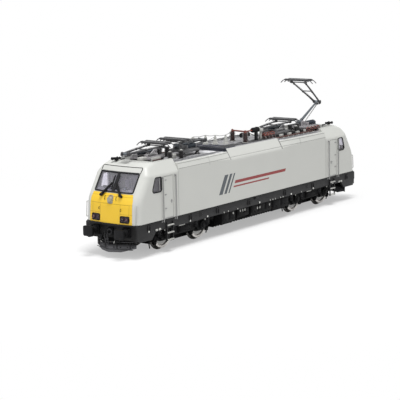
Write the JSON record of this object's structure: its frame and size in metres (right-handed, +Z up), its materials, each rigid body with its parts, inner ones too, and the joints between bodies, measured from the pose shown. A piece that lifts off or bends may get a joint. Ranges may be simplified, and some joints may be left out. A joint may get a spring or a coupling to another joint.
{
  "type": "model electric freight locomotive",
  "caption": "Scale model of a double-cab electric freight locomotive on swivelling bogies, with single-arm pantographs that fold and turning wheelsets.",
  "frame": {"origin": "under the middle of the locomotive, on the plane that the wheel flanges stand on", "axes": "+X towards the rear end, +Y across, +Z up"},
  "size_m": [0.2172, 0.0362, 0.0746],
  "materials": {
    "body_grey": "satin light grey",
    "mask_yellow": "satin yellow",
    "glass_clear": "tinted clear",
    "roof_dark": "matt dark grey",
    "roof_mid": "matt mid grey",
    "frame_black": "satin dark grey",
    "black": "satin black",
    "wheel_metal": "turned, bright",
    "rail_grey": "grey wire",
    "wire_metal": "dark metal",
    "lens": "clear lamps in a dark housing",
    "insulator_black": "gloss dark",
    "busbar_red": "gloss dark red",
    "interior_grey": "matt dark grey",
    "cast_weight": "cast"
  },
  "bodies": {
    "locomotive": {"body_shell": "body_grey", "front_masks": "mask_yellow", "windshields": "glass_clear", "side_windows": "glass_clear", "roof_decks": "roof_mid", "roof_hood": "body_grey", "hood_top": "roof_dark", "chassis_frame": "frame_black", "buffers": "black", "snow_ploughs": "frame_black", "couplings": "black", "transformer_tank": "frame_black", "underfloor_boxes": "frame_black", "entry_steps": "frame_black", "door_handrails": "rail_grey", "front_handrails": "rail_grey", "headlamps": "lens", "wipers": "black", "signal_horns": "black", "roof_insulators": "insulator_black", "busbar": "busbar_red", "roof_switchgear": "black", "cab_interiors": "interior_grey", "motor_block": "cast_weight", "panto_insulators": "insulator_black", "panto_base_1": "wire_metal", "panto_base_2": "wire_metal", "panto_base_3": "wire_metal", "panto_base_4": "wire_metal"},
    "bogie_front": {"bogie_frame_front": "frame_black", "gearbox_front": "black"},
    "bogie_rear": {"bogie_frame_rear": "frame_black", "gearbox_rear": "black"},
    "wheelset_1": {"wheels_1": "wheel_metal", "axle_1": "wheel_metal"},
    "wheelset_2": {"wheels_2": "wheel_metal", "axle_2": "wheel_metal"},
    "wheelset_3": {"wheels_3": "wheel_metal", "axle_3": "wheel_metal"},
    "wheelset_4": {"wheels_4": "wheel_metal", "axle_4": "wheel_metal"},
    "pantograph_1_lower_arm": {"lower_arm_1": "wire_metal"},
    "pantograph_1_guide_rod": {"guide_rod_1": "wire_metal"},
    "pantograph_1_upper_arm": {"upper_arm_1": "wire_metal"},
    "pantograph_1_head": {"pan_head_1": "wire_metal"},
    "pantograph_2_lower_arm": {"lower_arm_2": "wire_metal"},
    "pantograph_2_guide_rod": {"guide_rod_2": "wire_metal"},
    "pantograph_2_upper_arm": {"upper_arm_2": "wire_metal"},
    "pantograph_2_head": {"pan_head_2": "wire_metal"},
    "pantograph_3_lower_arm": {"lower_arm_3": "wire_metal"},
    "pantograph_3_guide_rod": {"guide_rod_3": "wire_metal"},
    "pantograph_3_upper_arm": {"upper_arm_3": "wire_metal"},
    "pantograph_3_head": {"pan_head_3": "wire_metal"},
    "pantograph_4_lower_arm": {"lower_arm_4": "wire_metal"},
    "pantograph_4_guide_rod": {"guide_rod_4": "wire_metal"},
    "pantograph_4_upper_arm": {"upper_arm_4": "wire_metal"},
    "pantograph_4_head": {"pan_head_4": "wire_metal"}
  },
  "joints": [
    {"name": "bogie_front_swivel", "type": "hinge", "parent": "locomotive", "child": "bogie_front", "pos_m": [-0.05985, 0, 0.0169], "axis": [0, 0, 1], "range_deg": [-8, 8]},
    {"name": "bogie_rear_swivel", "type": "hinge", "parent": "locomotive", "child": "bogie_rear", "pos_m": [0.05985, 0, 0.0169], "axis": [0, 0, 1], "range_deg": [-8, 8]},
    {"name": "wheelset_1_spin", "type": "hinge", "parent": "bogie_front", "child": "wheelset_1", "pos_m": [-0.0748, 0, 0.00818], "axis": [0, 1, 0], "continuous": true},
    {"name": "wheelset_2_spin", "type": "hinge", "parent": "bogie_front", "child": "wheelset_2", "pos_m": [-0.0449, 0, 0.00818], "axis": [0, 1, 0], "continuous": true},
    {"name": "wheelset_3_spin", "type": "hinge", "parent": "bogie_rear", "child": "wheelset_3", "pos_m": [0.0449, 0, 0.00818], "axis": [0, 1, 0], "continuous": true},
    {"name": "wheelset_4_spin", "type": "hinge", "parent": "bogie_rear", "child": "wheelset_4", "pos_m": [0.0748, 0, 0.00818], "axis": [0, 1, 0], "continuous": true},
    {"name": "pantograph_1_raise", "type": "hinge", "parent": "locomotive", "child": "pantograph_1_lower_arm", "pos_m": [-0.0685, 0, 0.0495], "axis": [0, 1, 0], "range_deg": [0, 33.5]},
    {"name": "pantograph_1_knee", "type": "hinge", "parent": "pantograph_1_lower_arm", "child": "pantograph_1_upper_arm", "pos_m": [-0.08979, 0, 0.05006], "axis": [0, 1, 0], "range_deg": [-70.09, 0.01]},
    {"name": "pantograph_1_head_pivot", "type": "hinge", "parent": "pantograph_1_upper_arm", "child": "pantograph_1_head", "pos_m": [-0.06594, 0, 0.05152], "axis": [0, 1, 0], "range_deg": [-0.01, 36.59]},
    {"name": "pantograph_1_rod_pivot", "type": "hinge", "parent": "locomotive", "child": "pantograph_1_guide_rod", "pos_m": [-0.0715, 0, 0.0475], "axis": [0, 1, 0], "range_deg": [-0.01, 36.66]},
    {"name": "pantograph_2_raise", "type": "hinge", "parent": "locomotive", "child": "pantograph_2_lower_arm", "pos_m": [-0.048, 0, 0.0495], "axis": [0, -1, 0], "range_deg": [0, 33.5]},
    {"name": "pantograph_2_knee", "type": "hinge", "parent": "pantograph_2_lower_arm", "child": "pantograph_2_upper_arm", "pos_m": [-0.02671, 0, 0.05006], "axis": [0, -1, 0], "range_deg": [-70.09, 0.01]},
    {"name": "pantograph_2_head_pivot", "type": "hinge", "parent": "pantograph_2_upper_arm", "child": "pantograph_2_head", "pos_m": [-0.05056, 0, 0.05152], "axis": [0, -1, 0], "range_deg": [-0.01, 36.59]},
    {"name": "pantograph_2_rod_pivot", "type": "hinge", "parent": "locomotive", "child": "pantograph_2_guide_rod", "pos_m": [-0.045, 0, 0.0475], "axis": [0, -1, 0], "range_deg": [-0.01, 36.66]},
    {"name": "pantograph_3_raise", "type": "hinge", "parent": "locomotive", "child": "pantograph_3_lower_arm", "pos_m": [0.048, 0, 0.0495], "axis": [0, 1, 0], "range_deg": [0, 33.5]},
    {"name": "pantograph_3_knee", "type": "hinge", "parent": "pantograph_3_lower_arm", "child": "pantograph_3_upper_arm", "pos_m": [0.02671, 0, 0.05006], "axis": [0, 1, 0], "range_deg": [-70.09, 0.01]},
    {"name": "pantograph_3_head_pivot", "type": "hinge", "parent": "pantograph_3_upper_arm", "child": "pantograph_3_head", "pos_m": [0.05056, 0, 0.05152], "axis": [0, 1, 0], "range_deg": [-0.01, 36.59]},
    {"name": "pantograph_3_rod_pivot", "type": "hinge", "parent": "locomotive", "child": "pantograph_3_guide_rod", "pos_m": [0.045, 0, 0.0475], "axis": [0, 1, 0], "range_deg": [-0.01, 36.66]},
    {"name": "pantograph_4_raise", "type": "hinge", "parent": "locomotive", "child": "pantograph_4_lower_arm", "pos_m": [0.0685, 0, 0.0495], "axis": [0, -1, 0], "range_deg": [-27.2, 6.3]},
    {"name": "pantograph_4_knee", "type": "hinge", "parent": "pantograph_4_lower_arm", "child": "pantograph_4_upper_arm", "pos_m": [0.08718, 0, 0.05973], "axis": [0, -1, 0], "range_deg": [-13.19, 56.91]},
    {"name": "pantograph_4_head_pivot", "type": "hinge", "parent": "pantograph_4_upper_arm", "child": "pantograph_4_head", "pos_m": [0.06718, 0, 0.07282], "axis": [0, -1, 0], "range_deg": [-29.71, 6.89]},
    {"name": "pantograph_4_rod_pivot", "type": "hinge", "parent": "locomotive", "child": "pantograph_4_guide_rod", "pos_m": [0.0715, 0, 0.0475], "axis": [0, -1, 0], "range_deg": [-29.77, 6.9]}
  ],
  "couplings": [
    {"joint": "pantograph_1_knee", "follows": "pantograph_1_raise", "ratio": -2.0919},
    {"joint": "pantograph_1_head_pivot", "follows": "pantograph_1_raise", "ratio": 1.0919},
    {"joint": "pantograph_1_rod_pivot", "follows": "pantograph_1_raise", "ratio": 1.0941},
    {"joint": "pantograph_2_knee", "follows": "pantograph_2_raise", "ratio": -2.0919},
    {"joint": "pantograph_2_head_pivot", "follows": "pantograph_2_raise", "ratio": 1.0919},
    {"joint": "pantograph_2_rod_pivot", "follows": "pantograph_2_raise", "ratio": 1.0941},
    {"joint": "pantograph_3_knee", "follows": "pantograph_3_raise", "ratio": -2.0919},
    {"joint": "pantograph_3_head_pivot", "follows": "pantograph_3_raise", "ratio": 1.0919},
    {"joint": "pantograph_3_rod_pivot", "follows": "pantograph_3_raise", "ratio": 1.0941},
    {"joint": "pantograph_4_knee", "follows": "pantograph_4_raise", "ratio": -2.0919},
    {"joint": "pantograph_4_head_pivot", "follows": "pantograph_4_raise", "ratio": 1.0919},
    {"joint": "pantograph_4_rod_pivot", "follows": "pantograph_4_raise", "ratio": 1.0941}
  ]
}
